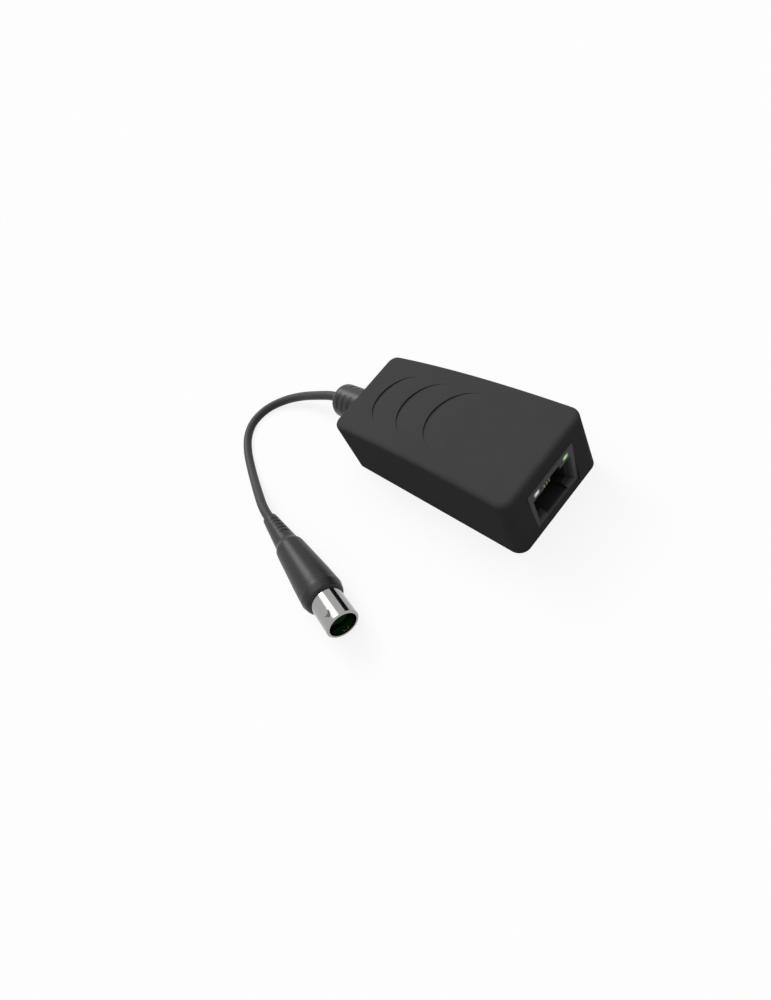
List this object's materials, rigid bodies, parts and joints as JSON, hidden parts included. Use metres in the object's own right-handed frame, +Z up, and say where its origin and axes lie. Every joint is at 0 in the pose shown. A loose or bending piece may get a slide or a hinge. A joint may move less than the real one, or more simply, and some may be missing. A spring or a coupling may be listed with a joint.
{
  "type": "ethernet over coax extender",
  "caption": "Black moulded box with an RJ45 socket at one end and, at the other, a strain relief and a short coax lead to a booted BNC socket.",
  "frame": {"origin": "middle of the underside of the housing", "axes": "+Z up; +X along the housing towards the RJ45 socket; the lead leaves at -X and loops round to -Y"},
  "size_m": [0.1305, 0.0782, 0.022],
  "materials": {
    "housing": "satin black moulding",
    "base_cover": "satin black moulding",
    "circuit_board": "green solder mask",
    "ethernet_jack_body": "black moulding",
    "jack_contacts": "gold-plated spring strip",
    "link_light_guide": "clear green light guide",
    "activity_light_guide": "clear light guide",
    "lamp_chips": "white lamp body",
    "line_transformer": "black moulded case",
    "tinned_leads": "tinned",
    "choke": "ferrite drum",
    "surge_arrester": "glazed white tube",
    "film_capacitors": "red box",
    "chip_resistors": "black chips",
    "strain_relief": "soft black moulding",
    "coax_jacket": "black jacket",
    "cable_core": "natural dielectric",
    "braid": "twisted copper braid",
    "stop_ring": "crimped ring",
    "plug_boot": "soft black moulding",
    "nickel": "bright nickel plate",
    "bnc_insulator": "dark green insulator",
    "centre_contact": "gold plate"
  },
  "bodies": {
    "root": {"activity_lamp_chip": "lamp_chips", "activity_light_guide": "activity_light_guide", "arrester_leads": "tinned_leads", "base_cover": "base_cover", "bnc_barrel": "nickel", "bnc_centre_contact": "centre_contact", "bnc_crimp_ferrule": "nickel", "bnc_insulator": "bnc_insulator", "braid_pigtail": "braid", "cable_core": "cable_core", "cable_inside": "coax_jacket", "cable_plug_end": "coax_jacket", "cable_stop_ring": "stop_ring", "cable_strain_relief": "strain_relief", "chip_resistors": "chip_resistors", "circuit_board": "circuit_board", "coax_cable": "coax_jacket", "common_mode_choke": "choke", "ethernet_jack_body": "ethernet_jack_body", "film_capacitor_left": "film_capacitors", "film_capacitor_right": "film_capacitors", "housing": "housing", "jack_contact_1": "jack_contacts", "jack_contact_2": "jack_contacts", "jack_contact_3": "jack_contacts", "jack_contact_4": "jack_contacts", "jack_contact_5": "jack_contacts", "jack_contact_6": "jack_contacts", "jack_contact_7": "jack_contacts", "jack_contact_8": "jack_contacts", "line_transformer": "line_transformer", "link_lamp_chip": "lamp_chips", "link_light_guide": "link_light_guide", "plug_boot": "plug_boot", "surge_arrester": "surge_arrester", "transformer_leads": "tinned_leads"}
  },
  "joints": []
}
